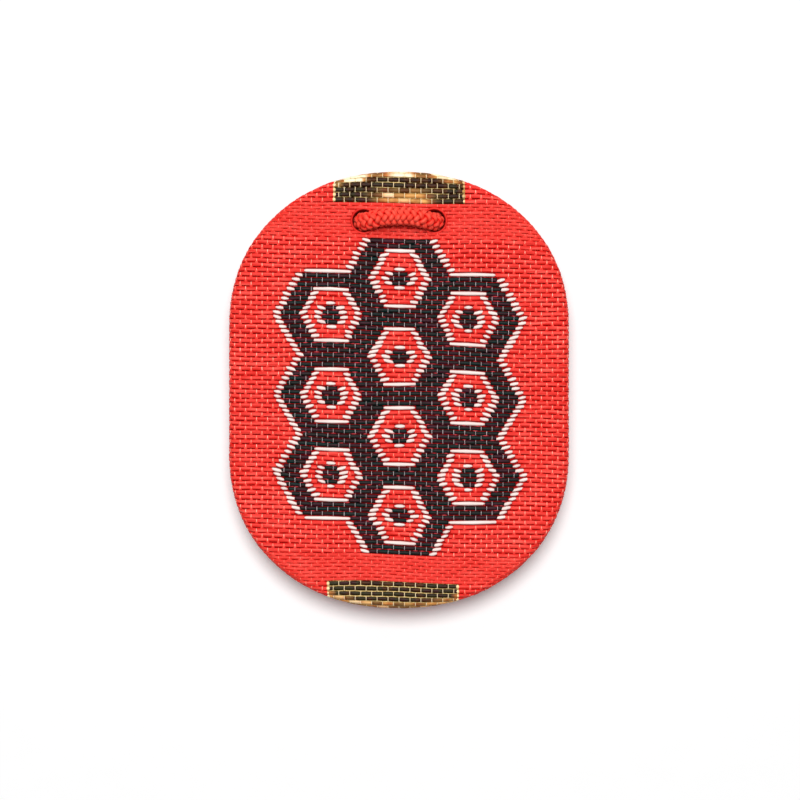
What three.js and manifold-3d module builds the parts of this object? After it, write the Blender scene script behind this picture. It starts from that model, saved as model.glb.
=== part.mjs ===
// An omamori, a flat Japanese charm. Two boards are wrapped in brocade, laid back to back with a folded
// paper packet between them, and sewn together round the rim. A braided cord passes through two holes near
// the top: it shows in front as one short stitch, and behind as a hanging loop whose ends meet in a reef
// knot. The loop is shown folded down behind the charm.
// Millimetres. X is the width, +Y points to the top edge and +Z out of the front face. The origin is the
// middle of the back face.
import * as THREE from "three";
import { mergeVertices } from "three/addons/utils/BufferGeometryUtils.js";
import Module from "manifold-3d";

const wasm = await Module();
wasm.setup();

// Outline: two superellipse caps joined by straight sides
const bodyWidth = 45;
const bodyHeight = 58;
const straightSide = 17;
const capExponent = 2.13;
const capSteps = 30;

// Layers and folds
const clothThickness = 0.45;
const boardThickness = 0.6;
const waddingThickness = 0.5;
const hemWidth = 5;
const shoulderInner = 0.45; // where the front cloth turns over the wadding
const foldInner = 0.15; // where the cloth turns over the edge of a board
const boardPlay = 0.05;
const shoulderSteps = 4;
const foldSteps = 3;

// Gold bands, woven into the face of the front cloth
const bandWidth = 17.4;
const topBandDepth = 4.25;
const bottomBandDepth = 3.5;
const bottomBandOffset = -0.8;
const bandThickness = 0.15;
const bandGap = 0.05;

// Paper packet and the slip of wood in it
const packetWidth = 17;
const packetHeight = 34;
const paperThickness = 0.12;
const paperPlay = 0.02;
const flapWidth = 12;
const slipPeak = 2.5;
const slipSidePlay = 0.4;

// Thread that closes the seam
const threadDiameter = 0.24;
const threadSwing = 0.06;
const threadClearance = 0.04;
const ladderPitch = 6;
const threadSides = 5;

// Cord: its stitch through the two holes
const cordDiameter = 2.5;
const holeSpacing = 9.8;
const holesBelowRim = 6.6;
const holePlay = 0.25;
const stitchArch = 0.5;
const stitchLift = 0.05;
const stitchBendShare = 1.15; // centreline radius at the holes, as a share of the cord's diameter
const cordSides = 8;
const stitchSteps = 30;

// Cord: the loop behind the charm
const exitBendShare = 2.3; // centreline radius where a strand turns away from its hole, as a share too
const exitDepth = 1;
const cordGap = 0.3;
const knotY = -14;
const strandSteps = 76;

// The way of one strand from its hole to the knot: distance from the middle line, and Y
const strandRoute = [
  [5.4, 12.6],
  [7.2, 8],
  [9.9, 3],
  [12.4, -2.2],
  [13.3, -7.2],
];
const strandTurn = [11.8, -10.9];

// Half of a reef knot, as shares of the cord's diameter: towards the knot's far side, upwards and outwards.
// It runs in beside the other strand, over its bight, under its legs, and over them again round its own
// bight. The way back is the same with the second share reversed.
const knotShares = [
  [-3.2, 0.62, 0.3],
  [-2.1, 0.6, 0.62],
  [-1.45, 0.6, 0.56],
  [-0.9, 0.62, 0.16],
  [-0.45, 0.82, -0.45],
  [0, 1.25, -0.64],
  [0.45, 1.68, -0.45],
  [0.9, 1.94, -0.02],
  [1.6, 1.72, 0.44],
  [2.15, 0.95, 0.62],
];
const bightShare = [2.35, 0, 0.64];
const knotRiseShare = 0.64;
const tailShares = [
  [-4.3, -0.7, -0.3],
  [-5.3, -0.95, -0.6],
];

const overrun = 1; // how far a cutting solid reaches past what it cuts

// Levels, from the back face forwards
const backBoardZ = clothThickness;
const packetZ = backBoardZ + boardThickness;
const seamZ = packetZ + clothThickness;
const frontBoardZ = seamZ + clothThickness;
const waddingZ = frontBoardZ + boardThickness;
const faceZ = waddingZ + waddingThickness + clothThickness;
const rimY = bodyHeight / 2;
const holeY = rimY - holesBelowRim;
const boardInset = clothThickness + foldInner + boardPlay;

const red = 0xdf3a30;
const darkRed = 0x8f1a1a;
const gold = 0x9a7a2c;
const card = 0xb9ab8e;
const felt = 0xf0ece2;
const paper = 0xf4f0e4;
const cedar = 0xd7b184;

// The charm's outline, moved inwards by inset, counter-clockwise from its right side
function outline(inset) {
  const halfWidth = bodyWidth / 2 - inset;
  const capHeight = (bodyHeight - straightSide) / 2 - inset;
  const points = [];
  for (const end of [1, -1])
    for (let i = 0; i <= capSteps; i++) {
      const turn = (Math.PI * i) / capSteps;
      const across = Math.sign(Math.cos(turn)) * Math.abs(Math.cos(turn)) ** (2 / capExponent);
      const along = Math.max(0, Math.sin(turn)) ** (2 / capExponent);
      points.push([end * halfWidth * across, end * (straightSide / 2 + capHeight * along)]);
    }
  return points;
}

// A closed solid through level outlines. profile lists [inset, height] from the lowest to the highest.
function loft(profile) {
  const rings = profile.map(([inset, height]) =>
    outline(inset).map(([x, y]) => [x, y, height]),
  );
  const corners = [];
  const triangle = (...points) => points.forEach((p) => corners.push(...p));
  const last = rings.length - 1;
  const lowest = [0, 0, profile[0][1]];
  const highest = [0, 0, profile[last][1]];
  const count = rings[0].length;
  for (let j = 0; j < count; j++) {
    const next = (j + 1) % count;
    triangle(lowest, rings[0][next], rings[0][j]);
    triangle(highest, rings[last][j], rings[last][next]);
    for (let k = 0; k < last; k++) {
      const [a, b] = [rings[k][j], rings[k][next]];
      const [d, c] = [rings[k + 1][j], rings[k + 1][next]];
      triangle(a, b, c);
      triangle(a, c, d);
    }
  }
  const position = new THREE.Float32BufferAttribute(corners, 3);
  return new THREE.BufferGeometry().setAttribute("position", position);
}

// A three.js geometry as a solid that can be joined and cut
function solid(geometry) {
  geometry.deleteAttribute("normal");
  geometry.deleteAttribute("uv");
  const merged = mergeVertices(geometry);
  const mesh = new wasm.Mesh({
    numProp: 3,
    vertProperties: merged.getAttribute("position").array,
    triVerts: new Uint32Array(merged.index.array),
  });
  return new wasm.Manifold(mesh);
}

function geometryOf(manifold) {
  const mesh = manifold.getMesh();
  const geometry = new THREE.BufferGeometry();
  geometry.setAttribute("position", new THREE.BufferAttribute(mesh.vertProperties, 3));
  geometry.setIndex(new THREE.BufferAttribute(mesh.triVerts, 1));
  return geometry;
}

function box([x0, y0, z0], [x1, y1, z1]) {
  const geometry = new THREE.BoxGeometry(x1 - x0, y1 - y0, z1 - z0);
  return geometry.translate((x0 + x1) / 2, (y0 + y1) / 2, (z0 + z1) / 2);
}

// A round bar along a curve, drawn with a section of the given number of sides
function tube(points, radius, sides, steps) {
  const corners = [];
  for (let i = 0; i < sides; i++) {
    const turn = (2 * Math.PI * (i + 1 / 2)) / sides;
    corners.push(new THREE.Vector2(radius * Math.cos(turn), radius * Math.sin(turn)));
  }
  const extrudePath = new THREE.CatmullRomCurve3(points, false, "centripetal");
  return new THREE.ExtrudeGeometry(new THREE.Shape(corners), {
    steps,
    bevelEnabled: false,
    extrudePath,
  });
}

// A quarter of an ellipse as [inset, distance] pairs, from centre - across to centre + up
function roundedEdge(centre, across, up, steps) {
  const points = [];
  for (let i = 0; i <= steps; i++) {
    const turn = (Math.PI / 2) * (i / steps);
    points.push([centre[0] - across * Math.cos(turn), centre[1] + up * Math.sin(turn)]);
  }
  return points;
}

// One half of the charm: which way it faces from the seam, what its cloth holds, and its outer shoulder
const front = {
  facing: 1,
  filling: boardThickness + waddingThickness,
  shoulderInner,
};
const back = {
  facing: -1,
  filling: boardThickness,
  shoulderInner: foldInner,
};

// The surface that lies depth inside a half's outer skin, as a profile for loft. It folds in at the seam,
// runs up the side and turns over a rounded shoulder to the face.
function skin(half, depth) {
  const fold = clothThickness + foldInner - depth;
  const shoulder = clothThickness + half.shoulderInner - depth;
  const foldCentre = clothThickness + foldInner;
  const shoulderInset = clothThickness + half.shoulderInner;
  const shoulderCentre = clothThickness + half.filling - half.shoulderInner;
  const seamEdge = roundedEdge([foldCentre, -foldCentre], fold, fold, foldSteps)
    .map(([inset, distance]) => [inset, -distance])
    .reverse();
  const faceEdge = roundedEdge([shoulderInset, shoulderCentre], shoulder, shoulder, shoulderSteps);
  const profile = [...seamEdge, ...faceEdge].map(([inset, distance]) => [
    inset,
    seamZ + half.facing * distance,
  ]);
  return half.facing > 0 ? profile : profile.reverse();
}

// Centreline of a cord end as it bends from its hole to lie behind the charm. angle is 0 where it still
// runs straight through the hole and a right angle where it lies flat.
const exitBend = exitBendShare * cordDiameter;
const lyingZ = exitDepth - exitBend;
const splitAngle = Math.PI / 4;
const gapAngle = cordGap / 2 / exitBend;
function exitPoint(side, angle) {
  return new THREE.Vector3(
    (side * holeSpacing) / 2,
    holeY - exitBend * (1 - Math.cos(angle)),
    exitDepth - exitBend * Math.sin(angle),
  );
}

// Centreline of one leg of the stitch, from behind the charm up to the top of its bend over the hole's edge
const stitchBend = stitchBendShare * cordDiameter;
const stitchZ = faceZ + cordDiameter / 2 + stitchLift;
function legPoints(side, lowest) {
  const points = [lowest, lowest - gapAngle, (2 * lowest) / 3, lowest / 3, 0].map((angle) =>
    exitPoint(side, angle),
  );
  for (const share of [0, 1 / 4, 1 / 2, 3 / 4, 1]) {
    const turn = (Math.PI / 2) * share;
    const x = holeSpacing / 2 - stitchBend * (1 - Math.cos(turn));
    const rise = stitchArch * Math.cos((Math.PI * x) / holeSpacing);
    points.push(
      new THREE.Vector3(side * x, holeY + rise, stitchZ - stitchBend * (1 - Math.sin(turn))),
    );
  }
  return points;
}

const cordHoles = [-1, 1]
  .map((side) => legPoints(side, splitAngle))
  .map((points) => solid(tube(points, cordDiameter / 2 + holePlay, cordSides, stitchSteps)))
  .reduce((all, hole) => all.add(hole));

// The region of a gold band: from its inner edge over the rim and down the side, grown by margin
function bandRegion(end, margin) {
  const [depth, offset] = end > 0 ? [topBandDepth, 0] : [bottomBandDepth, bottomBandOffset];
  const inner = rimY - depth - margin;
  const outer = rimY + overrun;
  return solid(
    box(
      [offset - bandWidth / 2 - margin, Math.min(end * inner, end * outer), frontBoardZ - margin],
      [offset + bandWidth / 2 + margin, Math.max(end * inner, end * outer), faceZ + overrun],
    ),
  );
}

function goldBand(end) {
  return bandRegion(end, 0)
    .intersect(solid(loft(skin(front, 0))))
    .subtract(solid(loft(skin(front, bandThickness))));
}

// Brocade over one half: the face, the turned rim and the hem behind the board
function cover(half) {
  const window = hemWidth + clothThickness;
  const heights = [seamZ - overrun, seamZ + overrun];
  const hole = heights.map((height) => [window, height]);
  return solid(loft(skin(half, 0)))
    .subtract(solid(loft(skin(half, clothThickness))))
    .subtract(solid(loft(hole)))
    .subtract(cordHoles);
}

function frontCover() {
  const beneath = solid(loft(skin(front, bandThickness + bandGap)));
  return [1, -1].reduce(
    (cloth, end) => cloth.subtract(bandRegion(end, bandGap).subtract(beneath)),
    cover(front),
  );
}

function board(lowest) {
  const profile = [lowest, lowest + boardThickness].map((height) => [boardInset, height]);
  return solid(loft(profile)).subtract(cordHoles);
}

// Thin felt whose upper edge is pressed round by the cloth
function wadding() {
  const shoulderInset = clothThickness + shoulderInner;
  const drop = Math.min(shoulderInner, waddingThickness - boardPlay);
  const centre = [shoulderInset, waddingZ + waddingThickness - drop];
  const edge = roundedEdge(centre, shoulderInset - boardInset, drop, shoulderSteps);
  return solid(loft([[boardInset, waddingZ], ...edge])).subtract(cordHoles);
}

// A sheet of paper folded round the slip, seen along Y: back panel, left fold, inner panel with its free
// edge, and from the right fold a flap over the front
function packet() {
  const thickness = seamZ + clothThickness - packetZ;
  const side = packetWidth / 2;
  const innerTop = thickness - paperThickness - paperPlay;
  const corners = [
    [-side, 0],
    [side, 0],
    [side, thickness],
    [side - flapWidth, thickness],
    [side - flapWidth, thickness - paperThickness],
    [side - paperThickness, thickness - paperThickness],
    [side - paperThickness, paperThickness],
    [paperThickness - side, paperThickness],
    [paperThickness - side, innerTop - paperThickness],
    [side - 3 * paperThickness, innerTop - paperThickness],
    [side - 3 * paperThickness, innerTop],
    [-side, innerTop],
  ];
  const section = new THREE.Shape(corners.map(([x, z]) => new THREE.Vector2(x, z)));
  return new THREE.ExtrudeGeometry(section, { depth: packetHeight, bevelEnabled: false })
    .rotateX(Math.PI / 2)
    .translate(0, packetHeight / 2, packetZ);
}

// A slip of cedar with a peaked top, lying in the packet
function slip() {
  const space = seamZ + clothThickness - packetZ;
  const thickness = space - 3 * paperThickness - 2 * paperPlay;
  const side = packetWidth / 2 - 3 * paperThickness - slipSidePlay;
  const end = packetHeight / 2 - slipSidePlay;
  const corners = [
    [-side, -end],
    [side, -end],
    [side, end - slipPeak],
    [0, end],
    [-side, end - slipPeak],
  ];
  const shape = new THREE.Shape(corners.map(([x, y]) => new THREE.Vector2(x, y)));
  return new THREE.ExtrudeGeometry(shape, { depth: thickness, bevelEnabled: false }).translate(
    0,
    0,
    packetZ + paperThickness,
  );
}

// Ladder stitches in the groove between the two folded edges. The thread crosses from one fold to the other
// twice in each pitch, and sits as deep as the folds let it.
function seamThread() {
  const fold = clothThickness + foldInner;
  const reach = fold + threadDiameter / 2 + threadClearance;
  const inset = fold - Math.sqrt(reach ** 2 - (fold - threadSwing) ** 2);
  const way = new THREE.CurvePath();
  const corners = outline(inset).map(([x, y]) => new THREE.Vector3(x, y, seamZ));
  const start = Math.round((3 * corners.length) / 4);
  for (let i = 0; i < corners.length; i++) {
    const [a, b] = [i, i + 1].map((step) => corners[(start + step) % corners.length]);
    if (a.distanceTo(b) > 0) way.add(new THREE.LineCurve3(a, b));
  }
  const length = way.getLength();
  const count = 4 * Math.round(length / ladderPitch);
  const points = [];
  for (let i = 0; i < count; i++) {
    const point = way.getPointAt(i / count);
    point.z += i % 4 < 2 ? threadSwing : -threadSwing;
    points.push(point);
  }
  return tube(points, threadDiameter / 2, threadSides, count);
}

function stitch() {
  const lowest = splitAngle - gapAngle;
  const points = [...legPoints(-1, lowest), ...legPoints(1, lowest).reverse()];
  return tube(points, cordDiameter / 2, cordSides, stitchSteps);
}

// One strand of the loop: the bend behind its hole, its way down, its half of the knot, and its tail.
// side is -1 for the left strand, which passes over where the right one passes under.
function strandPoints(side) {
  const knotZ = lyingZ + knotRiseShare * cordDiameter;
  const inKnot = ([far, up, out]) =>
    new THREE.Vector3(
      -side * far * cordDiameter,
      knotY + up * cordDiameter,
      knotZ - side * out * cordDiameter,
    );
  const back = knotShares.map(([far, up, out]) => [far, -up, out]).reverse();
  const knot = [...knotShares, bightShare, ...back].map(inKnot);
  const tail = tailShares.map(([far, up, out]) => inKnot([far, up, -side * out]));
  const first = splitAngle + gapAngle;
  const bend = [first, first + gapAngle, (3 * Math.PI) / 8, Math.PI / 2].map((angle) =>
    exitPoint(side, angle),
  );
  const way = strandRoute.map(([x, y]) => new THREE.Vector3(side * x, y, lyingZ));
  const turn = new THREE.Vector3(side * strandTurn[0], strandTurn[1], (2 * lyingZ + knot[0].z) / 3);
  return [...bend, ...way, turn, ...knot, ...tail];
}

// The least distance between the two strands' surfaces in the knot, measured on points of both
function knotGap() {
  const [left, right] = [-1, 1].map((side) =>
    new THREE.CatmullRomCurve3(strandPoints(side), false, "centripetal").getSpacedPoints(600),
  );
  const nearest = left.map((p) => Math.min(...right.map((q) => p.distanceTo(q))));
  return Math.min(...nearest) - cordDiameter;
}

function strand(side) {
  return tube(strandPoints(side), cordDiameter / 2, cordSides, strandSteps);
}

const charm = new THREE.Group();

function add(name, shape, color, roughness = 0.8, metalness = 0) {
  const geometry = shape.isBufferGeometry ? shape : geometryOf(shape);
  const mesh = new THREE.Mesh(
    geometry,
    new THREE.MeshStandardMaterial({ color, roughness, metalness, flatShading: true }),
  );
  mesh.name = name;
  charm.add(mesh);
}

add("front_cover", frontCover(), red);
add("top_gold_band", goldBand(1), gold, 0.35, 0.8);
add("bottom_gold_band", goldBand(-1), gold, 0.35, 0.8);
add("front_wadding", wadding(), felt, 0.95);
add("front_board", board(frontBoardZ), card, 0.9);
add("talisman_wrapper", packet(), paper, 0.9);
add("talisman_slip", slip(), cedar, 0.7);
add("back_board", board(backBoardZ), card, 0.9);
add("back_cover", cover(back), red);
add("seam_thread", seamThread(), darkRed);
add("cord_front_stitch", stitch(), red);
add("cord_left_strand", strand(-1), red);
add("cord_right_strand", strand(1), red);

console.log("least gap between the strands in the knot, mm:", knotGap().toFixed(2));

export default charm;
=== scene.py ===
import math
from collections import defaultdict

import bpy
import numpy as np
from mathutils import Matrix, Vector
from mathutils.kdtree import KDTree


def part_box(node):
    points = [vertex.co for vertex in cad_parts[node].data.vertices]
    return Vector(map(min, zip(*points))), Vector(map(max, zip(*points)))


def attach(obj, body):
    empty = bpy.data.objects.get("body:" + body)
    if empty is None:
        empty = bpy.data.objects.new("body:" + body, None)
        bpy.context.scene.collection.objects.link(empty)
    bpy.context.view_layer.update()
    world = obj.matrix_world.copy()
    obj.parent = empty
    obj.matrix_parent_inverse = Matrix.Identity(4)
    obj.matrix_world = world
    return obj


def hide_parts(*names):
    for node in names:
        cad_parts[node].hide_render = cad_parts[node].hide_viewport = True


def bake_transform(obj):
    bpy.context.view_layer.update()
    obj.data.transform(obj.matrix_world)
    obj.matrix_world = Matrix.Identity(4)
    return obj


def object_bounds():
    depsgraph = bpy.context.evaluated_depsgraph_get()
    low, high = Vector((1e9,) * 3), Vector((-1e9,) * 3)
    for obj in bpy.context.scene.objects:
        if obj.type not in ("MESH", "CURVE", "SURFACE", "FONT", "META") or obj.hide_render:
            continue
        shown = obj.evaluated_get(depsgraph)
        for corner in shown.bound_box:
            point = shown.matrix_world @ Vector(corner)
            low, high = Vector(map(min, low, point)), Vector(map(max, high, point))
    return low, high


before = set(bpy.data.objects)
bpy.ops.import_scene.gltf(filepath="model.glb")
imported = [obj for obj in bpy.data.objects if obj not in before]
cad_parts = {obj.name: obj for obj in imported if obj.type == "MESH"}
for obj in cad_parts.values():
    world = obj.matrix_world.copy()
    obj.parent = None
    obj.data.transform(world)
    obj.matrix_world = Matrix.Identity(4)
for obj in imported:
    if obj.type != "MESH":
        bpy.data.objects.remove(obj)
cad_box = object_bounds()

# Lengths here are millimetres in the CAD's frame, and MM turns them into Blender's metres.
MM = 0.001

# Body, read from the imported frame
cover_low, cover_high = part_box("front_cover")
back_low, back_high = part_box("back_cover")
HALF_WIDTH = cover_high.x / MM
HALF_HEIGHT = cover_high.y / MM
FACE_Z = cover_high.z / MM
SEAM_Z = cover_low.z / MM
BACK_Z = back_low.z / MM
FLOOR_Z = cad_box[0].z / MM

# Outline of the body: two superellipse caps joined by straight sides
STRAIGHT_SIDE = 17
CAP_HEIGHT = HALF_HEIGHT - STRAIGHT_SIDE / 2
CAP_EXPONENT = 2.13
OUTLINE_STEPS = 1200
SHELL_SAMPLE = 5  # the ground cloths and the felt take every fifth of those steps

# Folds of the cloth
CLOTH = 0.45
FRONT_SHOULDER = 0.9
BACK_SHOULDER = 0.6
FOLD = 0.6
HEM = 5
SUNK = 0.16  # how deep the ground cloth lies under the crowns of the picks

# Weave
FALL = 0.024  # how much the picks fall towards the right, as a slope
BRICK = 1.45
FIGURE_TOP = 20.1
FIGURE_BOTTOM = -21.84
BAND_TOP = 24.75
BAND_BOTTOM = -25.5
BAND_HALF = 8.7
BAND_OFFSETS = {"top": 0, "bottom": -0.8}
LOOP_INSET = 0.12
LOOP_REACH = 0.22
FIGURE_PITCH = 0.617
PLAIN_PITCH = 0.465
BAND_PITCH = 0.64
GLINT_PITCH = 6  # between the bright places along the top rim
BACK_PITCH = 0.62
SEAM_MARGIN = 0.15  # between the last picks and the seam
SIDE_MARGIN = 0.12
WIDEST_ROW = 26  # half of the width in which a pick's ends are looked for
LIMIT_STEP = 0.1
SHORTEST_ROW = 8  # a pick of fewer steps is left out
CRUMB = 0.3  # the shortest end that a run is cut to
RED_KINDS = ("red", "plain")

# Hexagon lattice of the figure: tortoiseshell cells in three columns
CELL_APOTHEM = 5.24
CELL_ROWS = (3, 4, 3)
STROKE = 2.9
OUTER_STROKE_SHARE = 0.2
CORE_APOTHEM = 1.05
COLOR_STEP = 0.18  # between the places where a row's colour is looked up
OUTLINE_LENGTH = 1.27
LEANING = 2.2  # the longest white run that leans with the figure's edge
TUCK = 0.1  # how far a red or black run reaches under the white one beside it
FLECK_SHARE = 0.42

# Cord
CORD = 2.5
HOLE_X = 4.9
HOLE_Y = 22.4
HOLE_RADIUS = 1.5
HOLE_LEAN = 0.25  # how far a hole leans inwards by the time it reaches the face
HOLE_MARGIN = 0.15  # between a hole's edge and the picks above and below it
HOLE_WIDENING = 1.08  # how much further than that the picks stop beside it
HOLE_STEPS = 48
CUTTER_DEPTH = 8
STITCH_ARCH = 0.5
STITCH_SAG = 0.2  # how far the cord leans on the lower edge of each hole
STITCH_TOP = FACE_Z + CORD / 2 + 0.05
STITCH_BEND = 1.15 * CORD
EXIT_BEND = 2.3 * CORD
EXIT_DEPTH = 1
LYING_Z = EXIT_DEPTH - EXIT_BEND
KNOT_Y = -14
BRAID_PITCH = 3.3

STRAND_ROUTE = [(5.4, 12.6), (7.2, 8), (9.9, 3), (12.4, -2.2), (13.3, -7.2)]
STRAND_TURN = (11.8, -10.9)

# Half of the reef knot, as shares of the cord's diameter: towards the far side, upwards and outwards
KNOT_SHARES = [
    (-3.2, 0.62, 0.3),
    (-2.1, 0.6, 0.62),
    (-1.45, 0.6, 0.56),
    (-0.9, 0.62, 0.16),
    (-0.45, 0.82, -0.45),
    (0, 1.25, -0.64),
    (0.45, 1.68, -0.45),
    (0.9, 1.94, -0.02),
    (1.6, 1.72, 0.44),
    (2.15, 0.95, 0.62),
]
BIGHT_SHARE = (2.35, 0, 0.64)
KNOT_RISE_SHARE = 0.64
TAIL_SHARES = [(-4.3, -0.7, -0.3), (-5.3, -0.95, -0.6)]

# Photograph: the object's middle and scale, in pixels of its 800 x 800 frame
PHOTO_SIZE = 800
MIDDLE_PIXEL = (399, 390)
MM_PER_PIXEL = 45 / 340
LENS = 120
SENSOR = 36


# Camera

def make_camera():
    half_view = PHOTO_SIZE / 2 * MM_PER_PIXEL
    distance = half_view * LENS / (SENSOR / 2)
    data = bpy.data.cameras.new("camera")
    data.lens = LENS
    data.sensor_width = SENSOR
    camera = bpy.data.objects.new("camera", data)
    bpy.context.scene.collection.objects.link(camera)
    x = (PHOTO_SIZE / 2 - MIDDLE_PIXEL[0]) * MM_PER_PIXEL
    y = (MIDDLE_PIXEL[1] - PHOTO_SIZE / 2) * MM_PER_PIXEL
    camera.location = Vector((x, y, FACE_Z + distance)) * MM
    bpy.context.scene.camera = camera


make_camera()


# Meshes

def make_object(name, vertices, faces, materials, values=None, smooth=True):
    """A mesh object from points in millimetres. values maps a name to one number or vector a point."""
    mesh = bpy.data.meshes.new(name)
    faces = faces.tolist() if isinstance(faces, np.ndarray) else faces
    mesh.from_pydata((np.asarray(vertices) * MM).tolist(), [], faces)
    for material in materials:
        mesh.materials.append(material)
    if smooth:
        mesh.polygons.foreach_set("use_smooth", np.ones(len(mesh.polygons), bool))
    for key, data in (values or {}).items():
        data = np.asarray(data, np.float32)
        if data.ndim == 1:
            mesh.attributes.new(key, "FLOAT", "POINT").data.foreach_set("value", data)
        else:
            mesh.attributes.new(key, "FLOAT_VECTOR", "POINT").data.foreach_set("vector", data.ravel())
    mesh.update()
    thing = bpy.data.objects.new(name, mesh)
    bpy.context.scene.collection.objects.link(thing)
    return thing


def grid_faces(rows, columns, closed=False):
    """Quads of a grid of points, row by row. closed joins the last column to the first."""
    row = np.arange(rows - 1)[:, None]
    column = np.arange(columns if closed else columns - 1)[None, :]
    after = (column + 1) % columns
    a = row * columns + column
    b = row * columns + after
    return np.stack([a, b, b + columns, a + columns], -1).reshape(-1, 4)


def ripple(u, v):
    """How far the picks stray up and down where the cloth was drawn over the card."""
    return 0.09 * np.sin(0.17 * u + 0.21 * v + 1) + 0.06 * np.sin(0.36 * u - 0.13 * v)


def skew(u, v):
    """Where a place of the cloth lies on the body, with the picks falling to the right."""
    return u, v - FALL * u + ripple(u, v)


def travel_along(path):
    """How far along the path each of its points lies."""
    return np.concatenate([[0], np.cumsum(np.linalg.norm(np.diff(path, axis=0), axis=1))])


# The body's outline, with its outward normals and a tree for finding the nearest point

def outline_curve():
    half = OUTLINE_STEPS // 2
    turn = math.pi * np.arange(half) / half
    across = np.sign(np.cos(turn)) * np.abs(np.cos(turn)) ** (2 / CAP_EXPONENT)
    along = np.clip(np.sin(turn), 0, None) ** (2 / CAP_EXPONENT)
    cap = np.stack([HALF_WIDTH * across, STRAIGHT_SIDE / 2 + CAP_HEIGHT * along], -1)
    ring = np.concatenate([cap, -cap])
    ring = np.concatenate([ring, ring[:1]])
    travel = travel_along(ring)
    even = np.linspace(0, travel[-1], OUTLINE_STEPS, endpoint=False)
    points = np.stack([np.interp(even, travel, ring[:, i]) for i in (0, 1)], -1)
    ahead = np.roll(points, -2, 0) - np.roll(points, 2, 0)
    normals = np.stack([ahead[:, 1], -ahead[:, 0]], -1)
    return points, normals / np.linalg.norm(normals, axis=1)[:, None]


OUTLINE, NORMALS = outline_curve()
outline_tree = KDTree(OUTLINE_STEPS)
for number, point in enumerate(OUTLINE):
    outline_tree.insert((*point, 0), number)
outline_tree.balance()


def outline_distance(x, y):
    """How far inside the outline each point lies, negative outside, and the nearest outline point."""
    nearest = np.array([outline_tree.find((a, b, 0))[1] for a, b in zip(x, y)])
    away = np.stack([x, y], -1) - OUTLINE[nearest]
    return -np.sum(away * NORMALS[nearest], 1), nearest


class Half:
    """One cloth: which way it faces, the radius of its shoulder, and how its turned side is made up."""

    def __init__(self, facing, face_z, shoulder):
        self.facing = facing
        self.face_z = face_z
        self.shoulder = shoulder
        self.side = abs(face_z - SEAM_Z) - shoulder - FOLD
        self.bends = [shoulder * math.pi / 2, self.side, FOLD * math.pi / 2]
        self.reach = sum(self.bends) - shoulder

    def section(self, travel):
        """Inset, height from the seam, outward and facing share, at travel past the shoulder's start."""
        first, second, third = self.bends
        height = self.side + FOLD
        a = np.clip(travel, 0, first) / self.shoulder
        straight = np.clip(travel - first, 0, second)
        b = np.clip(travel - first - second, 0, third) / FOLD
        flat = np.clip(-travel, 0, None)
        inset = self.shoulder * (1 - np.sin(a)) + FOLD * (1 - np.cos(b)) + flat
        up = height + self.shoulder * np.cos(a) - straight - FOLD * np.sin(b)
        folded = travel > first + second
        out = np.where(folded, np.cos(b), np.sin(a))
        forth = np.where(folded, -np.sin(b), np.cos(a))
        return inset, up, out, forth

    def wrap(self, u, v, lift):
        """Points of the cloth laid over the face and turned round the rim, lift above its outer skin."""
        shape = np.shape(u)
        u, v, lift = np.ravel(u), np.ravel(v), np.ravel(lift)
        inset, nearest = outline_distance(u, v)
        at_rim = inset < self.shoulder
        depth, up, out, forth = self.section(self.shoulder - inset)
        ring, normal = OUTLINE[nearest], NORMALS[nearest]
        flat = np.stack([u, v], -1)
        foot = ring + (flat - (ring + inset[:, None] * -normal))
        bent = foot + normal * (lift * out - depth)[:, None]
        place = np.where(at_rim[:, None], bent, flat)
        height = np.where(at_rim, up + lift * forth, abs(self.face_z - SEAM_Z) + lift)
        z = SEAM_Z + self.facing * height
        return np.concatenate([place, z[:, None]], 1).reshape(*shape, 3)


FRONT = Half(1, FACE_Z, FRONT_SHOULDER)
BACK = Half(-1, BACK_Z, BACK_SHOULDER)


# Materials

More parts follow.
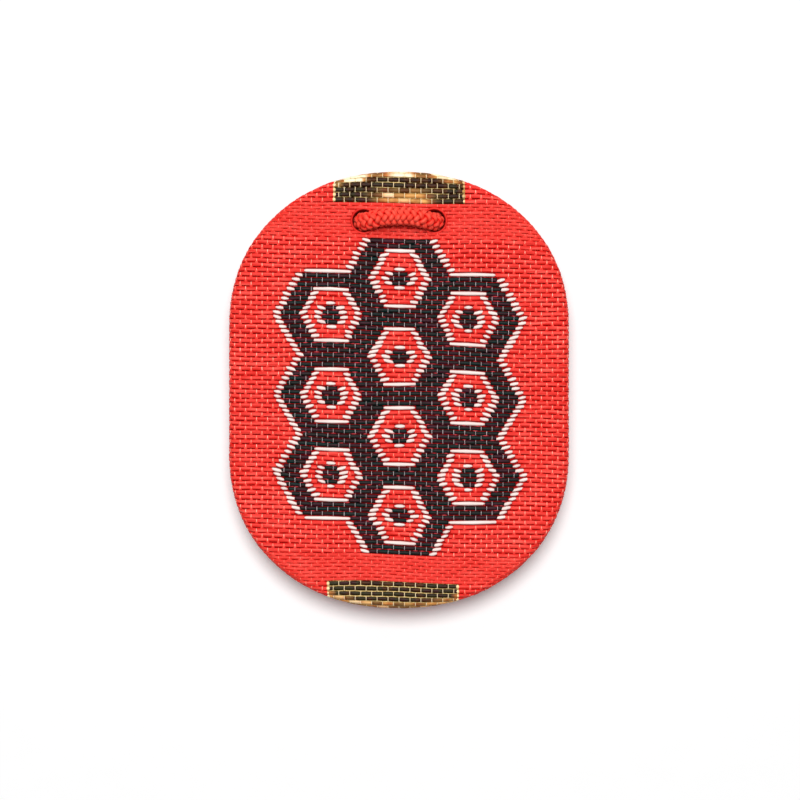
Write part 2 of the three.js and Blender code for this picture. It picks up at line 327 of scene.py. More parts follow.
class Nodes:
    """A short way to write a material's nodes."""

    def __init__(self, name):
        self.material = bpy.data.materials.new(name)
        self.material.use_nodes = True
        self.tree = self.material.node_tree
        self.shader = self.tree.nodes["Principled BSDF"]

    def add(self, kind, **settings):
        node = self.tree.nodes.new(kind)
        for key, value in settings.items():
            setattr(node, key, value)
        return node

    def link(self, start, end):
        self.tree.links.new(start, end)

    def feed(self, value, socket):
        """Gives a socket another node's output, a number or a colour."""
        if isinstance(value, bpy.types.NodeSocket):
            self.link(value, socket)
        else:
            socket.default_value = (*value, 1) if isinstance(value, tuple) else value

    def attribute(self, name, output="Fac"):
        return self.add("ShaderNodeAttribute", attribute_name=name).outputs[output]

    def place(self):
        return self.add("ShaderNodeTexCoord").outputs["Object"]

    def noise(self, vector, scale, detail, stretch=(1, 1, 1)):
        mapping = self.add("ShaderNodeMapping")
        mapping.inputs["Scale"].default_value = stretch
        self.link(vector, mapping.inputs["Vector"])
        noise = self.add("ShaderNodeTexNoise")
        noise.inputs["Scale"].default_value = scale
        noise.inputs["Detail"].default_value = detail
        self.link(mapping.outputs["Vector"], noise.inputs["Vector"])
        return noise.outputs["Fac"]

    def ramp(self, value, stops):
        node = self.add("ShaderNodeValToRGB")
        elements = node.color_ramp.elements
        while len(elements) < len(stops):
            elements.new(1)
        for element, (place, color) in zip(elements, stops):
            element.position = place
            element.color = (*color, 1)
        self.link(value, node.inputs["Fac"])
        return node.outputs["Color"]

    def blend(self, share, a, b):
        mix = self.add("ShaderNodeMix", data_type="RGBA")
        sockets = {s.identifier: s for s in mix.inputs}
        for value, key in ((share, "Factor_Float"), (a, "A_Color"), (b, "B_Color")):
            self.feed(value, sockets[key])
        return {s.identifier: s for s in mix.outputs}["Result_Color"]

    def calculate(self, operation, a, b):
        node = self.add("ShaderNodeMath", operation=operation)
        self.feed(a, node.inputs[0])
        self.feed(b, node.inputs[1])
        return node.outputs["Value"]

    def bump(self, height, strength, distance):
        bump = self.add("ShaderNodeBump")
        bump.inputs["Strength"].default_value = strength
        bump.inputs["Distance"].default_value = distance * MM
        self.link(height, bump.inputs["Height"])
        self.link(bump.outputs["Normal"], self.shader.inputs["Normal"])

    def set(self, **values):
        for key, value in values.items():
            self.feed(value, self.shader.inputs[key.replace("_", " ")])


def yarn_material(name, valley_shade, tints, specular=0.1, strength=0.35, levels=(0.15, 0.75)):
    """Filament yarn. Points carry yarn = (along, across, number) in millimetres and crown from 0 to 1. Low
    crown blends to the valley colour: painted shade on the sides of the yarn and in the gaps.
    """
    n = Nodes(name)
    yarn = n.attribute("yarn", "Vector")
    filaments = n.noise(yarn, 1, 2, (0.9, 15, 7))
    strands = n.noise(yarn, 1, 1, (0.35, 4, 11))
    last = len(tints) - 1
    body = n.ramp(strands, [(0.3 + 0.4 * i / last, tint) for i, tint in enumerate(tints)])
    # Painted shade: the valley colour where crown is low, between and under the yarns.
    lit = n.ramp(n.attribute("crown"), [(levels[0], (0, 0, 0)), (levels[1], (1, 1, 1))])
    n.bump(filaments, strength, 0.06)
    n.set(Base_Color=n.blend(lit, valley_shade, body), Roughness=0.5, Specular_IOR_Level=specular)
    return n.material


def fibre_material(name, dark, light, scale, detail, stretch, bump, roughness, specular=0.5):
    """Two tones mixed by a stretched noise, which also lifts the surface. bump is (strength, height)."""
    n = Nodes(name)
    fibres = n.noise(n.place(), scale, detail, stretch)
    tone = n.ramp(fibres, [(0.3, dark), (0.7, light)])
    n.bump(fibres, *bump)
    n.set(Base_Color=tone, Roughness=roughness, Specular_IOR_Level=specular)
    return n.material


def ground_material(name, dark, light):
    """The warp that shows between the picks: fine ends running along Y."""
    return fibre_material(name, dark, light, 1000, 2, (7, 0.6, 7), (0.4, 0.05), 0.8, specular=0.1)


RED_TINTS = [(0.66, 0.016, 0.01), (0.78, 0.039, 0.029), (0.89, 0.094, 0.07)]
PLAIN_TINTS = [(0.71, 0.022, 0.014), (0.76, 0.038, 0.027), (0.85, 0.07, 0.052)]
CORD_TINTS = [(0.83, 0.047, 0.027), (0.95, 0.1, 0.065)]
BLACK_TINTS = [
    (0.001, 0.02, 0.019),
    (0.002, 0.013, 0.012),
    (0.012, 0.01, 0.008),
    (0.032, 0.006, 0.012),
    (0.05, 0.009, 0.018),
]
WHITE_TINTS = [(0.8, 0.64, 0.6), (0.9, 0.78, 0.73)]
FLECK_TINTS = [(0.3, 0.008, 0.012), (0.6, 0.05, 0.06)]
LIP_TINTS = [(0.62, 0.012, 0.008), (0.8, 0.03, 0.02)]
THREAD_TINTS = [(0.3, 0.012, 0.014), (0.42, 0.02, 0.02)]
BINDING_TINTS = [(0.95, 0.14, 0.09), (1, 0.32, 0.22), (1, 0.52, 0.4)]
PLAIN_BINDING_TINTS = [(0.95, 0.09, 0.06), (1, 0.24, 0.17)]
GREY_TINTS = [(0.36, 0.3, 0.31), (0.78, 0.7, 0.71)]
CREAM_TINTS = [(0.82, 0.62, 0.32), (1, 0.86, 0.6)]
red_yarn = yarn_material("red_yarn", (0.78, 0.001, 0.001), RED_TINTS, levels=(0.25, 0.8))
plain_yarn = yarn_material("plain_red_yarn", (0.78, 0.004, 0.003), PLAIN_TINTS, levels=(0.1, 0.6))
fleck_yarn = yarn_material("fleck_yarn", (0.2, 0.001, 0.002), FLECK_TINTS)
black_yarn = yarn_material("black_yarn", (0.006, 0.002, 0.002), BLACK_TINTS)
white_yarn = yarn_material("white_yarn", (0.55, 0.13, 0.11), WHITE_TINTS, levels=(0.1, 0.85))
cord_yarn = yarn_material("cord_yarn", (0.68, 0.001, 0.001), CORD_TINTS, strength=0.5, levels=(0.7, 1))
lip_yarn = yarn_material("hole_edge_yarn", (0.12, 0.001, 0.001), LIP_TINTS)
tick_yarn = yarn_material("binding_yarn", (0.75, 0.04, 0.025), BINDING_TINTS, specular=0.2)
plain_tick_yarn = yarn_material("plain_binding_yarn", (0.8, 0.04, 0.025), PLAIN_BINDING_TINTS, specular=0.2)
grey_yarn = yarn_material("grey_binding_yarn", (0.06, 0.02, 0.02), GREY_TINTS, specular=0.2)
cream_yarn = yarn_material("cream_binding_yarn", (0.4, 0.24, 0.08), CREAM_TINTS, specular=0.2)
thread_yarn = yarn_material("seam_thread", (0.12, 0.005, 0.008), THREAD_TINTS, specular=0.2)
# Painted shade: the red ground and the cord's core are coloured darker than the yarns over them, for the
# shade in the gaps between the yarns.
red_ground = ground_material("red_ground", (0.2, 0.001, 0.001), (0.42, 0.002, 0.002))
gold_ground = ground_material("gold_ground", (0.4, 0.22, 0.05), (0.9, 0.68, 0.28))
cord_core = ground_material("cord_core", (0.3, 0.001, 0.001), (0.5, 0.001, 0.001))


def foil_material(name, tints, bright):
    """Gilt paper strips in tints that stand in for their reflections, with painted highlight: brighter
    where the painted highlight value nears 0.5, the colour of painted glare where it nears 1.
    """
    n = Nodes(name)
    yarn = n.attribute("yarn", "Vector")
    place = n.place()
    tint = n.ramp(n.noise(place, 420, 2), tints)
    highlight = n.attribute("highlight")
    highlight_tint = n.ramp(n.noise(place, 900, 1), [(0.35, bright[0]), (0.6, bright[1])])
    partly = n.ramp(highlight, [(0, (0, 0, 0)), (0.5, (1, 1, 1))])
    fully = n.ramp(highlight, [(0.5, (0, 0, 0)), (0.9, (1, 1, 1))])
    color = n.blend(fully, n.blend(partly, tint, highlight_tint), PAINTED_GLARE)
    n.bump(n.noise(yarn, 1, 2, (1.2, 9, 5)), 0.3, 0.05)
    n.set(Base_Color=color, Roughness=0.5, Metallic=0.1, Specular_IOR_Level=0.15)
    return n.material


# Painted reflection: the foil's flat picks are coloured dark for the dark surroundings that they mirror.
DARK_REFLECTION_TINTS = [
    (0.32, (0.02, 0.003, 0.001)),
    (0.42, (0.06, 0.017, 0.001)),
    (0.48, (0.02, 0.004, 0.001)),
    (0.56, (0.02, 0.017, 0.002)),
    (0.64, (0.028, 0.004, 0.004)),
]
# Painted highlight: the loops where the foil turns are coloured bright gilt for the light that their curves
# catch.
GILT_TINTS = [(0.3, (0.5, 0.25, 0.05)), (0.6, (1, 0.75, 0.4))]
# The colour of painted glare, where the painted highlight is full.
PAINTED_GLARE = (1, 0.86, 0.58)
gold_foil = foil_material("gold_foil", DARK_REFLECTION_TINTS, [(0.5, 0.15, 0.03), (0.68, 0.34, 0.09)])
gilt = foil_material("gilt_edge", GILT_TINTS, [(0.8, 0.5, 0.2), (1, 0.85, 0.6)])

# What lies inside: tones, then the noise's scale, detail and stretch, the bump and the roughness
felt = fibre_material("white_felt", (0.7, 0.67, 0.6), (0.9, 0.88, 0.83), 1800, 5, (1, 1, 1), (0.5, 0.1), 1)
board = fibre_material(
    "grey_board", (0.4, 0.34, 0.25), (0.62, 0.55, 0.43), 1500, 4, (1, 0.4, 1), (0.2, 0.05), 0.9
)
paper = fibre_material(
    "white_paper", (0.8, 0.76, 0.66), (0.93, 0.9, 0.83), 700, 5, (0.4, 1, 1), (0.15, 0.04), 0.85
)
cedar = fibre_material(
    "cedar_wood", (0.5, 0.28, 0.13), (0.78, 0.55, 0.33), 500, 4, (1.6, 0.06, 1), (0.2, 0.04), 0.6
)
inside = {"front_board": board, "back_board": board, "talisman_wrapper": paper, "talisman_slip": cedar}
for node_name, material in inside.items():
    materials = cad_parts[node_name].data.materials
    materials.clear()
    materials.append(material)


# Cloths: closed shells that follow the CAD's folds and carry the picks

def ring_shell(profile):
    """Points and faces of a closed shell round the outline. profile lists (depth inside it, z)."""
    ring, normals = OUTLINE[::SHELL_SAMPLE], NORMALS[::SHELL_SAMPLE]
    rows = [np.concatenate([ring - normals * depth, np.full((len(ring), 1), z)], 1) for depth, z in profile]
    vertices = np.concatenate(rows)
    first = list(range(len(ring)))
    last = [len(vertices) - len(ring) + i for i in first]
    return vertices, [*grid_faces(len(rows), len(ring), closed=True).tolist(), first[::-1], last]


def cloth_shell(half, name, material):
    """The outer skin down to the seam, the hem turned in behind the card, and the lining back up."""
    travel = np.linspace(0, sum(half.bends), 14)
    inset, up, out, forth = half.section(travel)
    skin = np.stack([inset + out * SUNK, up - forth * SUNK], -1)
    lining = np.stack([inset + out * CLOTH, up - forth * CLOTH], -1)[::-1]
    hem_end = CLOTH + HEM
    profile = np.concatenate([skin, [(hem_end, SUNK / 2)], [(hem_end, CLOTH)], lining])
    profile[:, 1] = SEAM_Z + half.facing * profile[:, 1]
    vertices, faces = ring_shell(profile)
    if half.facing < 0:
        faces = [face[::-1] for face in faces]
    return make_object(name, vertices, faces, [material], smooth=False)


def cut_holes(shell, margin=0.1):
    """Opens the two cord holes, margin wider than they look, and leaves the result in the mesh."""
    for side in (-1, 1):
        bpy.ops.mesh.primitive_cylinder_add(
            vertices=40,
            radius=(HOLE_RADIUS + margin) * MM,
            depth=CUTTER_DEPTH * MM,
            location=(side * (HOLE_X - HOLE_LEAN / 2) * MM, HOLE_Y * MM, FACE_Z / 2 * MM),
        )
        cutter = bpy.context.object
        cut = shell.modifiers.new("hole", "BOOLEAN")
        cut.operation = "DIFFERENCE"
        cut.solver = "EXACT"
        cut.object = cutter
        evaluated = shell.evaluated_get(bpy.context.evaluated_depsgraph_get())
        mesh = bpy.data.meshes.new_from_object(evaluated)
        shell.modifiers.clear()
        shell.data = mesh
        bpy.data.objects.remove(cutter)
    return shell


front_cloth = cut_holes(cloth_shell(FRONT, "front_cloth", red_ground))
back_cloth = cut_holes(cloth_shell(BACK, "back_cloth", red_ground))


# Picks: each float is a lens-shaped run of yarn that dives under a binding end at both ends

FLOAT_RINGS = 7
FLOAT_SIDES = 5
TICK_RINGS = 5
TICK_SIDES = 4


def floats(
    name, half, runs, material, height,
    fill=0.5, dip=0.06, taper=(0.3, 0.09), shade=0.35, slant=0, highlight=None,
):
    """runs lists (start, end, v, pitch) in the cloth's own directions, and with slant also a way.

    taper gives how much narrower a run is at its ends and over what length it narrows, shade how much
    darker its ends are with painted shade where they dive under, and slant how steeply a run falls to the
    right. A way of -1 makes it fall to the left, and 0 keeps it level. The last argument gives how much
    painted highlight the foil gets at a place of the body.
    """
    runs = np.array(runs)
    chance = np.random.default_rng(len(runs)).uniform(-1, 1, (len(runs), 4))
    start, end, v, pitch = (runs[:, i, None, None] for i in range(4))
    uneven, shifted, luck, lean = (chance[:, i, None, None] for i in range(4))
    length = end - start
    first = np.minimum(0.1, 0.12 * length)
    second = np.minimum(0.3, 0.28 * length)
    from_end = np.concatenate([0 * length, first, second, length / 2, second, first, 0 * length], 1)
    side = np.array([-1, -1, -1, 0, 1, 1, 1])[None, :, None]
    u = (start + end) / 2 + side * (length / 2 - from_end) + 0.02 * side * (from_end == 0)
    turn = np.linspace(0, math.pi, FLOAT_SIDES)[None, None, :]
    swell = (1 - taper[0] * np.exp(-from_end / taper[1])) * (1 + 0.06 * uneven)
    fall = dip * np.exp(-from_end / 0.14)
    across = pitch * fill * swell * np.cos(turn)
    lift = height * (1 + 0.12 * uneven) * swell * np.sin(turn) - fall - SUNK * 0.6
    wander = 0.022 * np.sin(0.31 * u + 0.9 * v) + 0.018 * np.sin(0.83 * u - 1.7 * v) + 0.012 * shifted
    tilt = slant * runs[:, 4, None, None] * (1 + 0.5 * lean) if slant else 0
    w = v + across + wander * (pitch / FIGURE_PITCH) - tilt * (u - (start + end) / 2)
    u = u + 0 * turn
    x, y = skew(u, w)
    points = half.wrap(x, y, lift)
    block = FLOAT_RINGS * FLOAT_SIDES
    shift = np.arange(len(runs))[:, None, None] * block
    quads = (grid_faces(FLOAT_RINGS, FLOAT_SIDES, closed=True) + shift).reshape(-1, 4)
    caps = np.array([range(FLOAT_SIDES)[::-1], range(block - FLOAT_SIDES, block)])
    ends = (caps + shift).reshape(-1, FLOAT_SIDES)
    if half.facing < 0:
        quads, ends = quads[:, ::-1], ends[:, ::-1]
    yarn = np.stack(np.broadcast_arrays(u, across, 0.6 * v), -1).reshape(-1, 3)
    # Painted shade: crown falls on the sides of each pick and at its ends, where it dives under.
    crown = np.broadcast_to(np.sin(turn) * (1 - shade * np.exp(-from_end / 0.1)), u.shape).ravel()
    values = {"yarn": yarn, "crown": crown}
    # Painted highlight on the foil, scattered from run to run.
    if highlight:
        patch = highlight(*skew(u, v))
        values["highlight"] = np.clip(patch * (1 + 0.7 * luck), 0, 1).ravel()
    return make_object(name, points.reshape(-1, 3), quads.tolist() + ends.tolist(), [material], values)


def ticks(name, half, places, material, width, height, reach=0.58):
    """Binding ends: a short arch of yarn across a pick. places lists (u, v, pitch)."""
    places = np.array(places)
    u, v, pitch = (places[:, i, None, None] for i in range(3))
    share = np.linspace(-1, 1, TICK_RINGS)[None, :, None]
    turn = np.linspace(0, math.pi, TICK_SIDES)[None, None, :]
    along = pitch * reach * share
    across = width / 2 * np.cos(turn)
    lift = height * (1 - 0.5 * share**2) * np.sin(turn) - 0.08 - 0.05 * share**2
    x, y = skew(u + across + 0 * along, v + along + 0 * across)
    lift = lift + 0 * x
    points = half.wrap(x, y, lift)
    shift = np.arange(len(places))[:, None, None] * TICK_RINGS * TICK_SIDES
    quads = (grid_faces(TICK_RINGS, TICK_SIDES, closed=True) + shift).reshape(-1, 4)
    if half.facing > 0:
        quads = quads[:, ::-1]
    number = (np.arange(len(places)) * 0.61)[:, None, None]
    yarn = np.stack(np.broadcast_arrays(along, across, number), -1).reshape(-1, 3)
    # Painted shade: crown falls at the ends and sides of each binding end.
    crown = np.broadcast_to((1 - 0.6 * share**2) * (0.4 + 0.6 * np.sin(turn)), x.shape).ravel()
    return make_object(name, points.reshape(-1, 3), quads, [material], {"yarn": yarn, "crown": crown})


# The figure: a lattice of tortoiseshell hexagons, each with a small one inside

def lattice_centres():
    side = CELL_APOTHEM * 2 / math.sqrt(3)
    centres = []
    middle_y = (FIGURE_TOP + FIGURE_BOTTOM) / 2
    for column, rows in enumerate(CELL_ROWS):
        x = (column - 1) * 1.5 * side
        for row in range(rows):
            centres.append((x, middle_y + (row - (rows - 1) / 2) * 2 * CELL_APOTHEM))
    return np.array(centres)


CENTRES = lattice_centres()


def is_black(u, v):
    """Whether each point of the cloth shows the figure's black yarn."""
    dx = np.subtract.outer(np.asarray(u, float), CENTRES[:, 0])
    dy = np.subtract.outer(np.asarray(v, float), CENTRES[:, 1])
    lean = math.radians(30)
    run, rise = dx * math.cos(lean), dy * math.sin(lean)
    reach = np.abs([dy, run + rise, run - rise]).max(0).min(-1)
    border = (reach > CELL_APOTHEM - STROKE / 2) & (reach < CELL_APOTHEM + STROKE * OUTER_STROKE_SHARE)
    return border | (reach < CORE_APOTHEM)


def row_limits(half, v):
    """The range of u in which a pick at v lies on the cloth, or nothing where it is too short."""
    u = np.arange(-WIDEST_ROW, WIDEST_ROW + LIMIT_STEP / 10, LIMIT_STEP)
    x, y = skew(u, np.full_like(u, v))
    inset, _ = outline_distance(x, y)
    inside = u[inset > -half.reach + SIDE_MARGIN]
    return (inside[0], inside[-1]) if len(inside) > SHORTEST_ROW else None


def row_ranges(half, v):
    """The ranges of u that a pick at v covers, with the two cord holes cut out."""
    limits = row_limits(half, v)
    pieces = [limits] if limits else []
    clear = HOLE_RADIUS + HOLE_MARGIN
    for side in (-1, 1):
        u = side * (HOLE_X - HOLE_LEAN)
        w = HOLE_Y + FALL * u - ripple(u, HOLE_Y)
        if abs(v - w) >= clear:
            continue
        reach = math.sqrt(clear**2 - (v - w) ** 2) * HOLE_WIDENING
        cut = [part for a, b in pieces for part in ((a, min(b, u - reach)), (max(a, u + reach), b))]
        pieces = [(a, b) for a, b in cut if a < b]
    return pieces


def bricks(start, end, row):
    """Splits a run at the binding ends of its row, and never leaves a crumb."""
    offset = BRICK / 2 * (row % 2)
    first = math.ceil((start - offset) / BRICK)
    cuts = [offset + i * BRICK for i in range(first, first + int((end - start) / BRICK) + 2)]
    inner = [c for c in cuts if start + CRUMB < c < end - CRUMB]
    points = [start, *inner, end]
    return list(zip(points[:-1], points[1:])), inner


def bridges(inner, v, pitch, covered):
    """Where a row's binding ends draw it against the row below it, if that row shows red yarn there."""
    places = []
    for place in inner:
        if any(kind in RED_KINDS and a + CRUMB < place < b - CRUMB for a, b, kind in covered):
            places.append((place, v - pitch / 2, pitch))
    return places


def pick_rows():
    """(v, pitch, zone) of each pick, from the seam at the bottom to the seam at the top."""
    limit = HALF_HEIGHT + FRONT.reach - SEAM_MARGIN
    zones = [
        (-limit, BAND_BOTTOM, BAND_PITCH, "bottom"),
        (BAND_BOTTOM, FIGURE_BOTTOM, PLAIN_PITCH, "plain"),
        (FIGURE_BOTTOM, FIGURE_TOP, FIGURE_PITCH, "figure"),
        (FIGURE_TOP, BAND_TOP, PLAIN_PITCH, "plain"),
        (BAND_TOP, limit, BAND_PITCH, "top"),
    ]
    rows = []
    for low, high, pitch, zone in zones:
        count = round((high - low) / pitch)
        step = (high - low) / count
        rows += [(low + step * (i + 0.5), step, zone) for i in range(count)]
    return rows


def figure_parts(start, end, v, pitch):
    """Splits a row where its colour changes: black in the figure, white round it, red elsewhere."""
    u = np.arange(start, end, COLOR_STEP)
    black = is_black(u, np.full_like(u, v))
    near = is_black(u, np.full_like(u, v + pitch)) | is_black(u, np.full_like(u, v - pitch))
    spread = int(OUTLINE_LENGTH / COLOR_STEP)
    for i in range(-spread, spread + 1):
        near |= np.roll(black, i)
    kind = np.where(black, 2, np.where(near, 1, 0))
    changes = [0, *(np.nonzero(np.diff(kind))[0] + 1), len(u)]
    parts = []
    for a, b in zip(changes[:-1], changes[1:]):
        name = ("red", "white", "black")[kind[a]]
        under = 0 if name == "white" else TUCK
        first = start if a == 0 else u[a] - under
        last = end if b == len(u) else u[b] + under
        parts.append((first, last, name))
    return parts


def row_parts(zone, start, end, v, pitch):
    """(start, end, kind of yarn) of each part of a row's range."""
    if zone == "figure":
        return figure_parts(start, end, v, pitch)
    if zone == "plain":
        return [(start, end, "plain")]
    left, right = BAND_OFFSETS[zone] - BAND_HALF, BAND_OFFSETS[zone] + BAND_HALF
    if start < left and right < end:
        return [(start, left, "red"), (left, right, zone), (right, end, "red")]
    return [(start, end, zone)]


def front_picks():
    """Runs and binding places of the front cloth, by kind."""
    runs, bound, joined = (defaultdict(list) for _ in range(3))
    chance = np.random.default_rng(11)
    below = []
    for row, (v, pitch, zone) in enumerate(pick_rows()):
        laid = []
        for start, end in row_ranges(FRONT, v):
            parts = row_parts(zone, start, end, v, pitch)
            laid += parts
            for number, (a, b, name) in enumerate(parts):
                if name == "white":
                    less, more = chance.uniform(-0.22, 0.22, 2)
                    way = (parts[number + 1][2] == "black") - (parts[number - 1][2] == "black")
                    runs["white"].append((a + less, b + more, v, pitch, way * (b - a < LEANING)))
                    continue
                pieces, inner = bricks(a, b, row)
                bound[name] += [(c, v, pitch) for c in inner]
                if name in RED_KINDS:
                    joined[name] += bridges(inner, v, pitch, below)
                for c, d in pieces if name == "black" else []:
                    if chance.random() < FLECK_SHARE:
                        middle, reach = chance.uniform(c, d), chance.uniform(0.15, 0.4)
                        runs["fleck"].append((middle - reach, middle + reach, v + pitch / 2, pitch / 3))
                runs[name] += [(c, d, v, pitch) for c, d in pieces]
        below = laid
    return runs, bound, joined


def painted_highlights(x, y):
    """How much painted highlight the bands' foil gets: in one patch of the top band, and on both rims, with
    painted glints along the top rim.
    """
    near = 0.45 * np.exp(-(((x - 0.4) / 3.6) ** 4) - ((y - 25.4) / 0.95) ** 4)
    rise = (1 - np.abs(x / HALF_WIDTH) ** CAP_EXPONENT) ** (1 / CAP_EXPONENT)
    edge = STRAIGHT_SIDE / 2 + CAP_HEIGHT * rise
    rim = np.exp(-(np.clip(np.abs(y) - edge + 0.45, -9, 0) / 0.3) ** 4)
    glints = 0.15 + 0.85 * np.cos(math.pi * x / GLINT_PITCH) ** 2
    return near + rim * np.where(y > 0, 0.95 * glints, 0.4)


runs, bound, joined = front_picks()
front_pieces = [
    floats("front_red_picks", FRONT, runs["red"], red_yarn, 0.16, 0.48, 0.03, (0.12, 0.09), 0.1),
    floats("front_plain_picks", FRONT, runs["plain"], plain_yarn, 0.11, 0.51, 0.02, (0.12, 0.09), 0.1),
    floats("front_black_picks", FRONT, runs["black"], black_yarn, 0.19, 0.46, 0.04, (0.15, 0.09)),
    floats("front_white_picks", FRONT, runs["white"], white_yarn, 0.27, 0.48, 0.14, (0.68, 0.3), 0.2, 0.17),
    floats("front_red_flecks", FRONT, runs["fleck"], fleck_yarn, 0.2, taper=(0.6, 0.2)),
    ticks("front_red_bridges", FRONT, joined["red"], red_yarn, 0.52, 0.17, reach=0.34),
    ticks("front_plain_bridges", FRONT, joined["plain"], plain_yarn, 0.8, 0.14, reach=0.36),
    ticks("front_binding_ends", FRONT, bound["red"], tick_yarn, 0.19, 0.16, reach=0.42),
    ticks("front_plain_binding_ends", FRONT, bound["plain"], plain_tick_yarn, 0.13, 0.14, reach=0.45),
    ticks("front_grey_binding_ends", FRONT, bound["black"], grey_yarn, 0.1, 0.17, reach=0.5),
]
flat_foil = {"dip": 0.03, "highlight": painted_highlights}
top_band = floats("top_band_foil", FRONT, runs["top"], gold_foil, 0.14, fill=0.48, **flat_foil)
bottom_band = floats("bottom_band_foil", FRONT, runs["bottom"], gold_foil, 0.14, fill=0.44, **flat_foil)
band_extras = [
    ticks("top_band_binding_ends", FRONT, bound["top"], cream_yarn, 0.12, 0.17),
    ticks("bottom_band_binding_ends", FRONT, bound["bottom"], cream_yarn, 0.12, 0.17),
]


def band_ground(name, picks, offset):
    """The gilded ground that shows as thin lines between the foil picks of a band."""
    v = np.unique([r[2] for r in picks])
    margin = BAND_PITCH / 2
    v = np.linspace(v[0] - margin, v[-1] + margin, 2 * len(v))
    u = np.linspace(offset - BAND_HALF, offset + BAND_HALF, 60)
    x, y = skew(*np.meshgrid(u, v))
    points = FRONT.wrap(x, y, np.full_like(x, 0.03 - SUNK)).reshape(-1, 3)
    return make_object(name, points, grid_faces(len(v), len(u)), [gold_ground])


def band_loops(name, picks, offset):
    """The loops at both sides of a band, where each foil pick turns back, coloured bright as a painted
    highlight.
    """
    rows = sorted({(v, pitch) for _, _, v, pitch in picks if row_limits(FRONT, v)[1] > BAND_HALF})
    loops = []
    for end in (-1, 1):
        edge = offset + end * (BAND_HALF - LOOP_INSET)
        loops += [(edge - LOOP_REACH, edge + LOOP_REACH, v, pitch) for v, pitch in rows]
    return floats(name, FRONT, loops, gilt, 0.22, fill=0.42, highlight=painted_highlights)


for zone, offset in BAND_OFFSETS.items():
    band_extras.append(band_ground(f"{zone}_band_ground", runs[zone], offset))
    band_extras.append(band_loops(f"{zone}_band_loops", runs[zone], offset))


def back_picks():
    """Runs, binding ends and bridges of the back cloth, which is plain red."""
    limit = HALF_HEIGHT + BACK.reach - SEAM_MARGIN
    count = round(2 * limit / BACK_PITCH)
    step = 2 * limit / count
    plain, ends, joined, below = [], [], [], []
    for row in range(count):
        laid = []
        v = -limit + step * (row + 0.5)
        for start, end in row_ranges(BACK, v):
            pieces, inner = bricks(start, end, row)
            plain += [(a, b, v, step) for a, b in pieces]
            ends += [(c, v, step) for c in inner]
            joined += bridges(inner, v, step, below)
            laid.append((start, end, "red"))
        below = laid
    return plain, ends, joined


plain, ends, joined = back_picks()
back_pieces = [
    floats("back_red_picks", BACK, plain, red_yarn, 0.16, 0.48, 0.03, (0.12, 0.09), 0.1),
    ticks("back_red_bridges", BACK, joined, red_yarn, 0.52, 0.17, reach=0.34),
    ticks("back_binding_ends", BACK, ends, tick_yarn, 0.19, 0.16, reach=0.42),
]


# Hole edges: the cloth turned down into the hole, with painted shade darkening it deeper down

def hole_edge(half, side):
    """One turned edge. section lists (outward, lift) from the cloth to down in the hole."""
    turns = np.linspace(0, 2 * math.pi, HOLE_STEPS, endpoint=False)
    squeeze = 0.5 if half.facing > 0 else 0.16
    section = [(0.34, -0.1), (0.26, 0), (0.16, 0.05), (0.04, 0.02), (-0.06, -0.12)]
    rows = []
    for out, lift in [*section, (-0.13, -0.5), (-squeeze, -1.5)]:
        lean = HOLE_LEAN * (1 + min(lift, 0) / 1.4) if half.facing > 0 else 0
        x = side * (HOLE_X - lean) + (HOLE_RADIUS + out) * np.cos(turns)
        y = HOLE_Y + (HOLE_RADIUS + out) * np.sin(turns)
        rows.append(half.wrap(x, y, np.full_like(x, lift)))
    points = np.concatenate(rows)
    faces = grid_faces(len(rows), len(turns), closed=True)
    if half.facing > 0:
        faces = faces[:, ::-1]
    yarn = np.stack([np.tile(turns * HOLE_RADIUS, len(rows)), points[:, 2], 0 * points[:, 2]], -1)
    # Painted shade: darker on the dip round the hole and deep inside it.
    crown = np.repeat([0.3, 0.6, 0.8, 0.5, 0.2, 0, 0], len(turns))
    name = f"{'front' if half.facing > 0 else 'back'}_{'left' if side < 0 else 'right'}_hole_edge"
    return make_object(name, points, faces, [lip_yarn], {"yarn": yarn, "crown": crown})


hole_edges = [hole_edge(half, side) for half in (FRONT, BACK) for side in (-1, 1)]


# Cord

def between(t, low, high, a, b):
    """From a, where t is low, to b, where it is high."""
    return (high - t) / (high - low) * a + (t - low) / (high - low) * b


def catmull_rom(points, spacing):
    """A centripetal Catmull-Rom curve through the points, sampled about every spacing."""
    points = np.array(points, float)
    full = np.concatenate([[2 * points[0] - points[1]], points, [2 * points[-1] - points[-2]]])
    out = []
    for i in range(1, len(full) - 2):
        p0, p1, p2, p3 = full[i - 1 : i + 3]
        t0 = 0
        t1 = t0 + np.linalg.norm(p1 - p0) ** 0.5
        t2 = t1 + np.linalg.norm(p2 - p1) ** 0.5
        t3 = t2 + np.linalg.norm(p3 - p2) ** 0.5
        count = max(2, math.ceil(np.linalg.norm(p2 - p1) / spacing))
        t = np.linspace(t1, t2, count, endpoint=False)[:, None]
        a1 = between(t, t0, t1, p0, p1)
        a2 = between(t, t1, t2, p1, p2)
        a3 = between(t, t2, t3, p2, p3)
        out.append(between(t, t1, t2, between(t, t0, t2, a1, a2), between(t, t1, t3, a2, a3)))
    return np.concatenate([*out, points[-1:]])


def exit_point(side, angle):
    return (
        side * HOLE_X,
        HOLE_Y - EXIT_BEND * (1 - math.cos(angle)),
        EXIT_DEPTH - EXIT_BEND * math.sin(angle),
    )


SPLIT = math.pi / 4


def leg_points(side):
    """One leg of the stitch, from behind the charm up to the top of its bend over the hole's edge."""
    points = [exit_point(side, angle) for angle in (SPLIT, SPLIT * 2 / 3, SPLIT / 3, 0)]
    for share in (0, 1 / 4, 1 / 2, 3 / 4, 1):
        turn = math.pi / 2 * share
        x = HOLE_X - STITCH_BEND * (1 - math.cos(turn))
        rise = STITCH_ARCH * math.cos(math.pi * x / (2 * HOLE_X)) - STITCH_SAG * math.sin(2 * turn)
        points.append((side * x, HOLE_Y + rise, STITCH_TOP - STITCH_BEND * (1 - math.sin(turn))))
    return points


